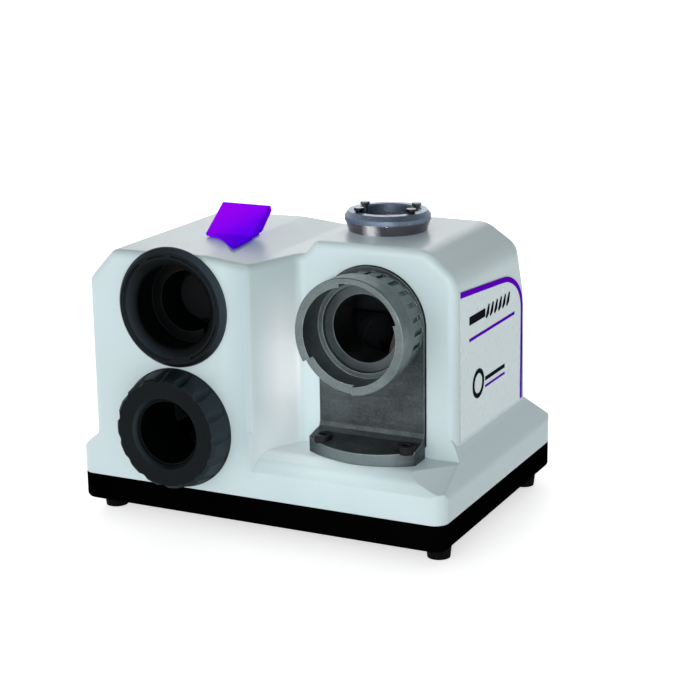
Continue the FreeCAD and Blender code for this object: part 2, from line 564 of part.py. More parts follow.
# ---------------------------------------------------------------- top seat
TX, TY, TZ = D.top_x, D.top_y, D.roof_right
tr = D.top_radius
node(turned([(21.8, TZ - 22), (31.0, TZ - 22), (31.0, TZ), (tr - 3.2, TZ), (tr - 0.5, TZ + 9.0), (22.8, TZ + 9.0), (21.8, TZ + 8.0)], "z", TX, TY, 0),
     "top_seat_base")
cap = turned([(25.4, TZ + 9.0), (tr, TZ + 9.0), (tr, TZ + 12.6), (tr - 3.0, TZ + 16.7), (26.4, TZ + 16.7), (25.4, TZ + 15.7)], "z", TX, TY, 0)
pin_xy = []
for a in (46.9, -17.5, 226.9, 162.5):
    t = math.radians(a)
    pin_xy.append((TX + 26.0 * math.cos(t), TY + 26.0 * math.sin(t)))
node(cut(cap, *[cyl(3.3, 12, x, y, TZ + 9.0 - 1) for x, y in pin_xy]), "top_seat_ring")
node(fuse(*[s for x, y in pin_xy for s in (cyl(2.7, 9.6, x, y, TZ + 9.05), cyl(4.1, 2.4, x, y, TZ + 17.8))]), "top_seat_pins")
node(turned([(31.1, TZ - 14), (33.6, TZ - 14), (33.6, TZ - D.cover_wall - 0.1), (31.1, TZ - D.cover_wall - 0.1)], "z", TX, TY, 0),
     "top_seat_lock_ring")

# ---------------------------------------------------------------- paddle switch on the left roof
RZ = D.roof_left
HY, HZ = -44.0, RZ + 1.0          # hinge line of the paddle
PY = -37.2                        # plunger
bezel_plan = box(-80.0, -51.4, RZ + 1.05, -41.0, -29.8, RZ + 2.2)
bezel = cut(bezel_plan, box(-77.9, -49.9, RZ - 5, -43.1, -33.0, RZ + 8))
lip = cut(box(-78.0, -49.8, RZ - 5.5, -43.0, -31.6, RZ + 2.2), box(-75.8, -47.6, RZ - 9, -45.2, -33.2, RZ + 8))
lip = fuse(lip, box(-77.9, HY - 1.5, RZ, -75.8, HY + 2.4, RZ + 3.0), box(-45.2, HY - 1.5, RZ, -43.1, HY + 2.4, RZ + 3.0))
node(cut(fuse(bezel, lip), cyl(1.52, 33.4, -77.2, HY, HZ, "x")), "switch_bezel")
paddle = prism("yz", [(-50.6, RZ + 2.7), (-50.6, RZ + 3.9), (-20.9, RZ + 25.1), (-17.9, RZ + 24.5), (-15.7, RZ + 19.9), (-33.4, RZ + 5.2),
                      (-36.0, RZ + 4.6), (-44.0, RZ + 4.1), (-46.6, RZ + 2.7)], -81.0, -36.2)
paddle = rounded(paddle, [(lambda m, d, n: abs(d.x) > 0.9 and m.y > -30, 0.8)]) or paddle
tongue = common(prism("xy", [(-81.0, -50.5), (-36.2, -50.5), (-32.2, -89.6), (-33.6, -90.4), (-55.6, -66.0), (-66.5, -56.6), (-81.0, -51.6)], RZ + 1.3, RZ + 6),
                prism("yz", [(-92, RZ + 1.35), (-52.0, RZ + 1.35), (-51.7, RZ + 2.7), (-50.4, RZ + 2.7), (-50.4, RZ + 4.0), (-92, RZ + 2.4)], -90, -30))
ears = fuse(cyl(2.6, 26, -73.5, HY, HZ, "x"), box(-73.5, HY - 2.0, HZ, -47.5, HY + 2.0, RZ + 4.6))
node(cut(fuse(paddle, tongue, ears), cyl(1.56, 60, -90.0, HY, HZ, "x")), "stop_paddle")
node(cyl(1.5, 33.0, -77.0, HY, HZ, "x"), "paddle_pin")
sw_body = box(-75.6, -47.4, RZ - 38, -45.4, -22.0, RZ - 5.5)
node(cut(sw_body, cyl(4.3, 20, -60.5, PY, RZ - 20)), "switch_body")
node(fuse(cyl(4.0, 8.0, -60.5, PY, RZ - 16.0), cyl(2.9, 11.7, -60.5, PY, RZ - 8.0)), "switch_plunger")

# ---------------------------------------------------------------- chassis, motor and wheels
plate_c = box(-132, -108, D.tray_top, 138, 76, D.tray_top + 4)
ch_holes = [cyl(2.6, 20, x, y, D.tray_top - 5) for x, y in chassis_xy]
cradle_xy = [(-24, -28), (24, -28), (-24, 56), (24, 56)]
ch_holes += [cyl(2.6, 20, x, y, D.tray_top - 5) for x, y in cradle_xy]
notch_l = box(-132.1, -108.1, D.tray_top - 1, -2, -90, D.tray_top + 5)
node(cut(plate_c, notch_l, *ch_holes), "chassis_plate")
node(fuse(*[s for x, y in chassis_xy for s in (cyl(4.6, 3.2, x, y, D.tray_top + 4.05), cyl(2.45, 17.8, x, y, D.tray_top - 13.75))]),
     "chassis_screws")
MY, MZ, MR = D.motor_y, D.motor_z, D.motor_radius
foot_z = D.tray_top + 4.05
cradle = cut(fuse(box(-36, MY - 32, foot_z, 36, MY + 32, MZ - 10), box(-32, -34, foot_z, 32, 62, foot_z + 8)),
             cyl(MR + 0.1, 90, -45, MY, MZ, "x"), box(-20, -60, foot_z + 10, 20, 90, MZ - 44),
             *[cyl(2.6, 20, x, y, foot_z - 1) for x, y in cradle_xy])
node(cradle, "motor_cradle")
node(fuse(*[s for x, y in cradle_xy for s in (cyl(4.6, 3.2, x, y, foot_z + 8.05), cyl(2.45, 14.6, x, y, foot_z - 6.5))]),
     "cradle_screws")
SR = D.shaft_radius
can = turned([(MR - 3, -44), (MR, -44), (MR, 44), (MR - 3, 44)], "x", 0, MY, MZ)
node(can, "motor_can")
strap = cut(turned([(MR + 0.1, -12), (MR + 2.1, -12), (MR + 2.1, 12), (MR + 0.1, 12)], "x", 0, MY, MZ),
            box(-20, MY - 60, MZ - 60, 20, MY + 60, MZ - 9.9))
node(strap, "motor_strap")
node(turned([(24, -26), (MR - 3.1, -26), (MR - 3.1, 26), (24, 26)], "x", 0, MY, MZ), "motor_stator")
for side, name in ((-1, "motor_end_bell_left"), (1, "motor_end_bell_right")):
    pts = [(11.1, 44.1 * side), (MR, 44.1 * side), (MR, 50 * side), (20, 58 * side), (8.5, 58 * side), (8.5, 55.1 * side),
           (11.1, 55.1 * side)]
    node(turned(pts if side > 0 else pts[::-1], "x", 0, MY, MZ), name)
node(fuse(*[turned([(SR + 0.06, 47.2 * s), (11.0, 47.2 * s), (11.0, 55.0 * s), (SR + 0.06, 55.0 * s)][::s], "x", 0, MY, MZ) for s in (-1, 1)]),
     "motor_bearings")
node(fuse(cyl(SR, 206, -103, MY, MZ, "x"), turned([(SR - 1, -24), (22.4, -24), (22.4, 24), (SR - 1, 24)], "x", 0, MY, MZ)),
     "rotor_shaft")
WR = D.wheel_radius
for side, name in ((-1, "grinding_wheel_left"), (1, "grinding_wheel_right")):
    pts = [(SR + 0.05, 76 * side), (WR - 8, 76 * side), (WR, 80 * side), (WR, 88 * side), (SR + 0.05, 88 * side)]
    node(turned(pts[::side], "x", 0, MY, MZ), name)
node(fuse(*[turned([(SR + 0.05, a * s), (17, a * s), (17, (a + 4) * s), (SR + 0.05, (a + 4) * s)][::s], "x", 0, MY, MZ)
            for s in (-1, 1) for a in (71.9, 88.1)]), "wheel_flanges")
nuts = []
for s in (-1, 1):
    hexa = [(9.8 * math.cos(math.radians(60 * k)), 9.8 * math.sin(math.radians(60 * k))) for k in range(6)]
    b = prism("yz", [(MY + a, MZ + c2) for a, c2 in hexa], 92.2 if s > 0 else -99.2, 99.2 if s > 0 else -92.2)
    nuts.append(b)
node(cut(fuse(*nuts), cyl(SR + 0.05, 260, -130, MY, MZ, "x")), "wheel_nuts")
fan_blades = []
hub = turned([(SR + 0.05, 60.5), (12, 60.5), (12, 69.5), (SR + 0.05, 69.5)], "x", 0, MY, MZ)
for k in range(8):
    b = doc.addObject("Part::Box", "blade")
    b.Length, b.Width, b.Height = 8, 1.6, 22
    rot = Rotation(Vector(1, 0, 0), 45 * k)
    b.Placement = Placement(Vector(61, MY.val + D.front_shift.val, MZ.val) + rot.multVec(Vector(0, -0.8, 11)), rot)
    fan_blades.append(b)
node(fuse(hub, *fan_blades), "cooling_fan")

# ---------------------------------------------------------------- electrics at the rear
node(box(-118, 40, D.tray_top + 8.2, -62, 70, D.tray_top + 9.8), "control_board")
node(fuse(*[cyl(2.5, 4.1, x, y, D.tray_top + 4.05) for x, y in ((-114, 44), (-66, 44), (-114, 66), (-66, 66))]), "board_spacers")
node(fuse(cyl(11, 26, -104, 55, D.tray_top + 9.85), cyl(9, 20, -76, 52, D.tray_top + 9.85)), "capacitors")
node(fuse(box(-132 + 5, 10, D.tray_top + 4.05, -110, 34, D.tray_top + 16), box(-132 + 8, 16, D.tray_top + 15, -113, 28, D.tray_top + 20)),
     "terminal_block")
# inlet: a flanged three-pin mains inlet in the rear wall; the wall leans a little
yi = 79.4
inlet = fuse(box(90.0, yi, 129.0, 130.2, yi + 3.0, 164.2), box(96.4, yi - 24, 129.0, 123.8, yi + 0.5, 157.8))
inlet = cut(inlet, box(100.0, yi - 17, 133.0, 120.2, yi + 10, 154.0), cyl(1.75, 20, 110.1, yi - 8, 161.0, "y"))
holder = fuse(box(90.0, yi, 104.0, 130.2, yi + 3.0, 128.95), box(96.4, yi - 24, 110.4, 123.8, yi + 0.5, 128.95))
node(cut(holder, box(103.0, yi - 6, 113.0, 117.2, yi + 10, 127.0), cyl(1.75, 20, 110.1, yi - 8, 107.2, "y")), "fuse_holder")
node(inlet, "power_inlet")
node(fuse(*[box(x - 1, yi - 16.95, zc - 2.5, x + 1, yi - 3, zc + 2.5) for x, zc in ((104.6, 141.0), (115.6, 141.0), (110.1, 146.6))]), "inlet_pins")
node(fuse(box(103.2, yi - 5.9, 113.2, 117.0, yi + 3.6, 126.8)), "fuse_drawer")
node(fuse(*[s for zc in (107.2, 161.0) for s in (cyl(1.7, 12, 110.1, yi - 8.9, zc, "y"), cone(3.4, 2.4, 1.6, 110.1, yi + 3.05, zc, "y"))]),
     "inlet_screws")

# ---------------------------------------------------------------- checks and export
doc.recompute()
bad = [o.Name for o in doc.Objects if any(s in ("Invalid", "Error") for s in o.State)]
print("objects", len(doc.Objects), "failed", bad)
names = []
os.makedirs("parts", exist_ok=True)
for f in os.listdir("parts"):
    if f.endswith(".step"):
        os.remove(os.path.join("parts", f))
ok = not bad
for o in NODES:
    s = o.Shape
    if s.isNull() or not s.isValid() or s.Volume <= 0 or len(s.Solids) < 1:
        print("BAD SHAPE", o.Label, s.isNull(), s.isValid() if not s.isNull() else None, s.Volume if not s.isNull() else None)
        ok = False
assert ok, "some shapes are not valid"
assert len(set(o.Label for o in NODES)) == len(NODES) <= 60
tot = FreeCAD.BoundBox()
for o in NODES:
    o.Shape.exportStep("parts/%s.step" % o.Label)
    bb = o.Shape.BoundBox
    tot.add(bb)
    print("%-24s solids %d vol %9.0f  x %7.1f %7.1f  y %7.1f %7.1f  z %7.1f %7.1f" % (
        o.Label, len(o.Shape.Solids), o.Shape.Volume, bb.XMin, bb.XMax, bb.YMin, bb.YMax, bb.ZMin, bb.ZMax))
print("all", tot)
print("nodes", len(NODES))
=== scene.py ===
import json
import math
import bpy
import bmesh
from mathutils import Matrix, Vector


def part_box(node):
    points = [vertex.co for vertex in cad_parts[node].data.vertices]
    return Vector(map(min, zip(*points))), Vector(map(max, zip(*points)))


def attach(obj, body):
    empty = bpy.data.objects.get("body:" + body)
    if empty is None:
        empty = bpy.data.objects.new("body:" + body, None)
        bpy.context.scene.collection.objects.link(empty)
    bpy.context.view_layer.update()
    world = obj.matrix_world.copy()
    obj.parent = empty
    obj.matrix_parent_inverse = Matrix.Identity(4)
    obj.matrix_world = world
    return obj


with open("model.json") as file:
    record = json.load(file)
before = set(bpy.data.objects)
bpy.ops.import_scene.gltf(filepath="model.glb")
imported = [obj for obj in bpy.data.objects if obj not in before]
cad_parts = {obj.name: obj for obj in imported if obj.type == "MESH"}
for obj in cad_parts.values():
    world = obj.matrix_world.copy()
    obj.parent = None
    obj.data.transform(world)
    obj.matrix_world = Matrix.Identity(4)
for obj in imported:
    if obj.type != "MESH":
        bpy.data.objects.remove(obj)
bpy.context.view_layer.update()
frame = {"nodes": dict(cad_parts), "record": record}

N = frame["nodes"]
SCN = bpy.context.scene
COL = SCN.collection


def lin(r, g, b):
    """8-bit display colour to linear."""
    f = lambda v: (v / 255.0) / 12.92 if v <= 10 else (((v / 255.0) + 0.055) / 1.055) ** 2.4
    return (f(r), f(g), f(b), 1.0)


# ------------------------------------------------------------------ camera and room
cam_data = bpy.data.cameras.new("camera")
cam = bpy.data.objects.new("camera", cam_data)
COL.objects.link(cam)
right = Vector((0.89937, 0.43702, -0.01202))
up = Vector((-0.10493, 0.24247, 0.96447))
back = Vector((0.42440, -0.86615, 0.26393))
M = Matrix.Identity(4)
for i, v in enumerate((right, up, back)):
    for j in range(3):
        M[j][i] = v[j]
M.translation = Vector((0.71212, -1.38366, 0.56028))
cam.matrix_world = M
cam_data.sensor_width = 36.0
cam_data.lens = 95.66
cam_data.clip_start = 0.05
cam_data.clip_end = 60.0
SCN.camera = cam
SCN.view_settings.view_transform = "Standard"
SCN.view_settings.look = "None"


def area(name, pos, aim, size, power, color=(1, 1, 1), size_y=None):
    d = bpy.data.lights.new(name, "AREA")
    d.shape = "RECTANGLE"
    d.size = size
    d.size_y = size_y or size
    d.energy = power
    d.color = color
    o = bpy.data.objects.new(name, d)
    COL.objects.link(o)
    o.location = pos
    o.rotation_euler = (Vector(aim) - Vector(pos)).to_track_quat("-Z", "Y").to_euler()
    return o


area("key_front", (-0.35, -2.1, 1.0), (0.0, 0.0, 0.12), 1.3, 6.0)
area("fill_right", (0.75, -1.9, 0.55), (0.05, -0.05, 0.12), 1.0, 9.0)
area("rear_rim", (-0.6, 1.6, 0.9), (0.0, 0.0, 0.15), 1.2, 5.0)
for k, (pos, aim, angle, power) in enumerate((((0.29, -0.92, 0.27), (0.034, -0.072, 0.174), 3.8, 29.0),
                                              ((0.29, -0.92, 0.22), (0.030, -0.072, 0.120), 3.8, 20.0),
                                              ((0.20, -1.00, 0.72), (0.078, -0.088, 0.084), 5.4, 40.0),
                                              ((0.17, -1.00, 0.52), (0.020, -0.084, 0.062), 4.0, 13.0),
                                              ((0.55, -1.15, 0.45), (0.085, -0.075, 0.225), 8.0, 18.0))):
    spot = bpy.data.lights.new("recess_glow_%d" % k, "SPOT")
    spot.energy = power
    spot.spot_size = math.radians(angle)
    spot.spot_blend = 1.0
    spot.shadow_soft_size = 0.05
    so = bpy.data.objects.new("recess_glow_%d" % k, spot)
    COL.objects.link(so)
    so.location = pos
    so.rotation_euler = (Vector(aim) - so.location).to_track_quat("-Z", "Y").to_euler()

world = bpy.data.worlds.new("studio")
world.use_nodes = True
wt = world.node_tree
wco = wt.nodes.new("ShaderNodeTexCoord")
wsep = wt.nodes.new("ShaderNodeSeparateXYZ")
wmap = wt.nodes.new("ShaderNodeMapRange")
wmap.interpolation_type = "SMOOTHSTEP"
wmap.inputs["From Min"].default_value = 0.15
wmap.inputs["From Max"].default_value = 0.85
wmap.inputs["To Min"].default_value = 1.03
wmap.inputs["To Max"].default_value = 0.35
wt.links.new(wco.outputs["Generated"], wsep.inputs[0])
wt.links.new(wsep.outputs[0], wmap.inputs["Value"])
wtop = wt.nodes.new("ShaderNodeMapRange")
wtop.interpolation_type = "SMOOTHSTEP"
wtop.inputs["From Min"].default_value = 0.25
wtop.inputs["From Max"].default_value = 0.9
wtop.inputs["To Min"].default_value = 1.0
wtop.inputs["To Max"].default_value = 0.23
wmul = wt.nodes.new("ShaderNodeMath")
wmul.operation = "MULTIPLY"
wt.links.new(wsep.outputs[2], wtop.inputs["Value"])
wt.links.new(wmap.outputs["Result"], wmul.inputs[0])
wt.links.new(wtop.outputs["Result"], wmul.inputs[1])
wt.links.new(wmul.outputs[0], wt.nodes["Background"].inputs["Strength"])
wt.nodes["Background"].inputs["Color"].default_value = (1.0, 1.0, 1.0, 1.0)
SCN.world = world


# ------------------------------------------------------------------ materials
class Mat:
    """A small helper round a node tree with one Principled shader."""

    def __init__(self, name):
        self.m = bpy.data.materials.new(name)
        self.m.use_nodes = True
        self.t = self.m.node_tree
        self.n = self.t.nodes
        self.b = self.n["Principled BSDF"]
        self.co = self.n.new("ShaderNodeTexCoord").outputs["Object"]

    def link(self, a, b):
        self.t.links.new(a, b)

    def set(self, **kw):
        for k, v in kw.items():
            self.b.inputs[k.replace("_", " ")].default_value = v
        return self

    def mapping(self, scale):
        mp = self.n.new("ShaderNodeMapping")
        mp.inputs["Scale"].default_value = scale
        self.link(self.co, mp.inputs["Vector"])
        return mp.outputs["Vector"]

    def noise(self, scale, detail=4.0, rough=0.55, vec=None, distortion=0.0):
        t = self.n.new("ShaderNodeTexNoise")
        t.inputs["Scale"].default_value = scale
        t.inputs["Detail"].default_value = detail
        t.inputs["Roughness"].default_value = rough
        t.inputs["Distortion"].default_value = distortion
        self.link(vec or self.co, t.inputs["Vector"])
        return t.outputs["Fac"]

    def ramp(self, fac, stops):
        r = self.n.new("ShaderNodeValToRGB")
        el = r.color_ramp.elements
        while len(el) > 1:
            el.remove(el[-1])
        el[0].position = stops[0][0]
        el[0].color = stops[0][1]
        for p, c in stops[1:]:
            e = el.new(p)
            e.color = c
        self.link(fac, r.inputs["Fac"])
        return r.outputs["Color"]

    def val(self, fac, lo, hi, a=0.3, b=0.7):
        r = self.n.new("ShaderNodeMapRange")
        r.inputs["From Min"].default_value = a
        r.inputs["From Max"].default_value = b
        r.inputs["To Min"].default_value = lo
        r.inputs["To Max"].default_value = hi
        self.link(fac, r.inputs["Value"])
        return r.outputs["Result"]

    def mix(self, fac, a, b, mode="MIX"):
        x = self.n.new("ShaderNodeMix")
        x.data_type = "RGBA"
        x.blend_type = mode
        for sock, v in ((x.inputs[0], fac), (x.inputs[6], a), (x.inputs[7], b)):
            if hasattr(v, "is_linked") or hasattr(v, "node"):
                self.link(v, sock)
            else:
                sock.default_value = v
        return x.outputs[2]

    def math(self, op, a, b=None):
        x = self.n.new("ShaderNodeMath")
        x.operation = op
        for sock, v in zip(x.inputs, (a, b)):
            if v is None:
                continue
            if hasattr(v, "node"):
                self.link(v, sock)
            else:
                sock.default_value = v
        return x.outputs[0]

    def edge(self, radius, lo=0.02, hi=0.25):
        """A mask that is high on sharp outer edges, from a rounded normal against the true one."""
        bv = self.n.new("ShaderNodeBevel")
        bv.samples = 6
        bv.inputs["Radius"].default_value = radius
        g = self.n.new("ShaderNodeNewGeometry")
        d = self.n.new("ShaderNodeVectorMath")
        d.operation = "DOT_PRODUCT"
        self.link(bv.outputs["Normal"], d.inputs[0])
        self.link(g.outputs["Normal"], d.inputs[1])
        one = self.math("SUBTRACT", 1.0, d.outputs["Value"])
        return self.val(one, 0.0, 1.0, lo, hi), bv.outputs["Normal"]

    def bump(self, height, strength, distance, normal=None):
        x = self.n.new("ShaderNodeBump")
        x.inputs["Strength"].default_value = strength
        x.inputs["Distance"].default_value = distance
        self.link(height, x.inputs["Height"])
        if normal is not None:
            self.link(normal, x.inputs["Normal"])
        return x.outputs["Normal"]

    def out(self, color=None, rough=None, normal=None):
        if color is not None:
            self.link(color, self.b.inputs["Base Color"])
        if rough is not None:
            self.link(rough, self.b.inputs["Roughness"])
        if normal is not None:
            self.link(normal, self.b.inputs["Normal"])
        return self.m


def moulded(name, c1, c2, rough=(0.36, 0.46), grain=1500.0, depth=0.00006, edge_r=0.0009, edge_col=None, edge_amt=0.35, coat=0.0, spec=0.5, painted_light_col=None, speck_gain=1.12, bore_shade=None, interior_shade_col=None, up=0.45):
    """Moulded plastic or paint: slow colour drift, fine grain, edges painted lighter as wear and as a painted
    highlight; it can also carry painted light on sides turned right and up, painted shade in a round hole, and painted
    light and shade on the cover.
    """
    m = Mat(name)
    big = m.noise(9.0, 3.0)
    col = m.ramp(big, [(0.32, c1), (0.68, c2)])
    speck = m.noise(grain * 0.55, 2.0, 0.6)
    # painted shade: a mask for the round hole's interior, painted darker below
    if bore_shade:
        mp = m.n.new("ShaderNodeSeparateXYZ")
        m.link(m.co, mp.inputs[0])
        rr = m.math("SQRT", m.math("ADD", m.math("POWER", m.math("SUBTRACT", mp.outputs[0], bore_shade[0]), 2.0),
                                   m.math("POWER", m.math("SUBTRACT", mp.outputs[2], bore_shade[1]), 2.0)))
        bore_shade_mask = m.val(rr, 1.0, 0.0, bore_shade[2] - 0.0006, bore_shade[2] + bore_shade[3])
    col = m.mix(m.val(speck, 0.0, 0.10, 0.35, 0.75), col, (c2[0] * speck_gain, c2[1] * speck_gain, c2[2] * speck_gain, 1))
    # painted light: sides turned right and up are painted lighter
    if painted_light_col:
        g = m.n.new("ShaderNodeNewGeometry")
        sn = m.n.new("ShaderNodeSeparateXYZ")
        m.link(g.outputs["Normal"], sn.inputs[0])
        f = m.math("ADD", m.math("MULTIPLY", sn.outputs[0], 0.75), m.math("MULTIPLY", sn.outputs[2], up))
        col = m.mix(m.val(f, 0.0, 0.85, 0.1, 0.9), col, painted_light_col)
    # painted shade: the hole's interior is painted darker
    if bore_shade:
        col = m.mix(bore_shade_mask, col, (c1[0] * 0.35, c1[1] * 0.35, c1[2] * 0.35, 1))
    # painted light and shade on the cover, patch by patch
    if interior_shade_col:
        g2 = m.n.new("ShaderNodeNewGeometry")
        s2 = m.n.new("ShaderNodeSeparateXYZ")
        p2 = m.n.new("ShaderNodeSeparateXYZ")
        m.link(g2.outputs["Normal"], s2.inputs[0])
        m.link(m.co, p2.inputs[0])
        # painted shade: walls turned into the cover, at its rear, front and top, are painted dark
        rear = m.math("MULTIPLY", m.val(s2.outputs[1], 1.0, 0.0, -0.6, -0.3), m.val(p2.outputs[1], 0.0, 1.0, 0.03, 0.04))
        fore = m.math("MULTIPLY", m.val(s2.outputs[1], 0.0, 1.0, 0.3, 0.6), m.val(p2.outputs[1], 1.0, 0.0, 0.0, 0.01))
        under = m.math("MULTIPLY", m.val(s2.outputs[2], 1.0, 0.0, -0.6, -0.3), m.val(p2.outputs[2], 0.0, 1.0, 0.10, 0.11))
        # painted highlight: the slanting wall between the towers is painted lighter, where more light falls on it
        slant_highlight = m.math("MULTIPLY", m.val(s2.outputs[0], 0.0, 1.0, 0.55, 0.8), m.val(s2.outputs[1], 1.0, 0.0, -0.45, -0.3))
        slant_highlight = m.math("MULTIPLY", slant_highlight, m.val(p2.outputs[0], 1.0, 0.0, 0.028, 0.034))
        tall = m.math("MULTIPLY", m.val(p2.outputs[2], 0.0, 1.0, 0.075, 0.125), m.val(p2.outputs[2], 1.0, 0.0, 0.165, 0.225))
        deep = m.val(p2.outputs[1], 0.10, 1.0, -0.108, -0.086)
        col = m.mix(m.math("MULTIPLY", m.math("MULTIPLY", slant_highlight, tall), m.math("MULTIPLY", deep, 0.9)), col, lin(236, 240, 242))
        # painted highlight: up- and right-turned sides on the low front ledge are painted lighter
        ledge_highlight = m.math("MULTIPLY", m.val(p2.outputs[0], 0.0, 1.0, -0.030, 0.006), m.val(p2.outputs[0], 1.0, 0.0, 0.050, 0.075))
        ledge_highlight = m.math("MULTIPLY", ledge_highlight, m.math("MULTIPLY", m.val(p2.outputs[2], 0.0, 1.0, 0.030, 0.040), m.val(p2.outputs[2], 1.0, 0.0, 0.070, 0.110)))
        ledge_highlight = m.math("MULTIPLY", ledge_highlight, m.math("MULTIPLY", m.val(p2.outputs[1], 0.0, 1.0, -0.122, -0.104), m.val(p2.outputs[1], 1.0, 0.0, -0.040, -0.030)))
        ledge_highlight = m.math("MULTIPLY", ledge_highlight, m.math("MAXIMUM", m.val(s2.outputs[2], 0.0, 1.0, 0.75, 0.95), m.val(s2.outputs[0], 0.0, 1.0, 0.55, 0.8)))
        col = m.mix(m.math("MULTIPLY", ledge_highlight, 0.60), col, lin(240, 246, 248))
        low = m.val(p2.outputs[2], 1.0, 0.0, 0.080, 0.095)
        # painted highlight: a low slope turned right, front and up is painted lighter
        facet_highlight = m.math("MULTIPLY", m.val(s2.outputs[0], 0.0, 1.0, 0.20, 0.40), m.val(s2.outputs[1], 1.0, 0.0, -0.30, -0.15))
        facet_highlight = m.math("MULTIPLY", m.math("MULTIPLY", facet_highlight, low), m.val(s2.outputs[2], 0.0, 1.0, 0.10, 0.30))
        col = m.mix(m.math("MULTIPLY", facet_highlight, 0.80), col, lin(232, 242, 244))
        # painted shade: low sides turned right are painted darker
        flank_shade = m.math("MULTIPLY", m.val(s2.outputs[0], 0.0, 1.0, 0.35, 0.50), m.val(m.math("ABSOLUTE", s2.outputs[1]), 1.0, 0.0, 0.10, 0.20))
        col = m.mix(m.math("MULTIPLY", m.math("MULTIPLY", flank_shade, low), 0.22), col, lin(120, 146, 154))
        # painted shade: a front-turned band by the left tower's right edge is painted darker
        front = m.val(s2.outputs[1], 1.0, 0.0, -0.90, -0.60)
        brink_shade = m.math("MULTIPLY", m.val(p2.outputs[0], 0.0, 1.0, -0.024, -0.006), m.val(p2.outputs[0], 1.0, 0.0, 0.0, 0.004))
        brink_shade = m.math("MULTIPLY", m.math("MULTIPLY", brink_shade, front), m.val(p2.outputs[2], 0.0, 1.0, 0.050, 0.080))
        col = m.mix(m.math("MULTIPLY", brink_shade, 0.65), col, lin(156, 176, 182))
        # painted shade: the top is painted darker
        roof_shade = m.math("MULTIPLY", m.val(s2.outputs[2], 0.0, 1.0, 0.85, 0.97), m.val(p2.outputs[2], 0.0, 1.0, 0.170, 0.180))
        col = m.mix(m.math("MULTIPLY", roof_shade, 0.28), col, lin(160, 186, 190))
        # painted shade: the low front skirt is painted darker
        apron_shade = m.math("MULTIPLY", m.math("MULTIPLY", m.val(p2.outputs[0], 0.0, 1.0, -0.015, 0.035), m.val(p2.outputs[0], 1.0, 0.0, 0.090, 0.140)), m.val(p2.outputs[2], 1.0, 0.0, 0.058, 0.070))
        apron_shade = m.math("MULTIPLY", apron_shade, m.val(s2.outputs[1], 1.0, 0.0, -0.60, -0.30))
        col = m.mix(m.math("MULTIPLY", apron_shade, 0.42), col, lin(158, 180, 184))
        # painted shade on the interior walls
        interior_shade_mask = m.math("MAXIMUM", rear, m.math("MAXIMUM", fore, under))
        col = m.mix(interior_shade_mask, col, interior_shade_col)
    mask, nrm = m.edge(edge_r)
    # edges are painted lighter towards edge_col, as wear and as a painted highlight
    if edge_col:
        col = m.mix(m.math("MULTIPLY", mask, edge_amt), col, edge_col)
    fine = m.noise(grain, 2.0, 0.5)
    m.set(Specular_IOR_Level=spec, Coat_Weight=coat, Coat_Roughness=0.15)
    return m.out(col, m.val(m.noise(60.0, 5.0), rough[0], rough[1]), m.bump(fine, 0.35, depth, nrm))


def cast(name, c1, c2, edge_col, rough=(0.38, 0.58), metallic=0.85, grain=700.0, depth=0.00012, edge_r=0.0011, edge_amt=0.7, grit_amt=0.35, near_dark=None, bore_wall_shade=None):
    """Cast or blasted metal: mottled, gritty, edges painted lighter as rubbed wear and as a painted highlight."""
    m = Mat(name)
    mott = m.noise(45.0, 8.0, 0.62)
    col = m.ramp(mott, [(0.30, c1), (0.70, c2)])
    grit = m.noise(grain, 3.0, 0.6)
    col = m.mix(m.val(grit, 0.0, grit_amt, 0.45, 0.75), col, edge_col)
    mask, nrm = m.edge(edge_r)
    # edges are painted lighter, as rubbed wear and as a painted highlight
    col = m.mix(m.math("MULTIPLY", m.math("MULTIPLY", mask, m.val(m.noise(90.0, 5.0), 0.45, 1.0)), edge_amt), col, edge_col)
    if bore_wall_shade:
        # painted shade: walls turned towards the hole's axis are painted darker than the rim, as shade in the hole
        gn = m.n.new("ShaderNodeNewGeometry")
        sv = m.n.new("ShaderNodeSeparateXYZ")
        sq = m.n.new("ShaderNodeSeparateXYZ")
        m.link(gn.outputs["Normal"], sv.inputs[0])
        m.link(m.co, sq.inputs[0])
        dx = m.math("SUBTRACT", sq.outputs[0], bore_wall_shade[0])
        dz = m.math("SUBTRACT", sq.outputs[2], bore_wall_shade[1])
        dot = m.math("ADD", m.math("MULTIPLY", dx, sv.outputs[0]), m.math("MULTIPLY", dz, sv.outputs[2]))
        col = m.mix(m.val(dot, 0.62, 0.0, -0.020, -0.004), col, bore_wall_shade[2])
    if near_dark:
        # pins are darker towards the front
        pp = m.n.new("ShaderNodeSeparateXYZ")
        m.link(m.co, pp.inputs[0])
        col = m.mix(m.val(pp.outputs[1], 0.92, 0.0, near_dark[0], near_dark[1]), col, near_dark[2])
    m.set(Metallic=metallic)
    return m.out(col, m.val(m.noise(160.0, 6.0), rough[0], rough[1]), m.bump(grit, 0.5, depth, nrm))


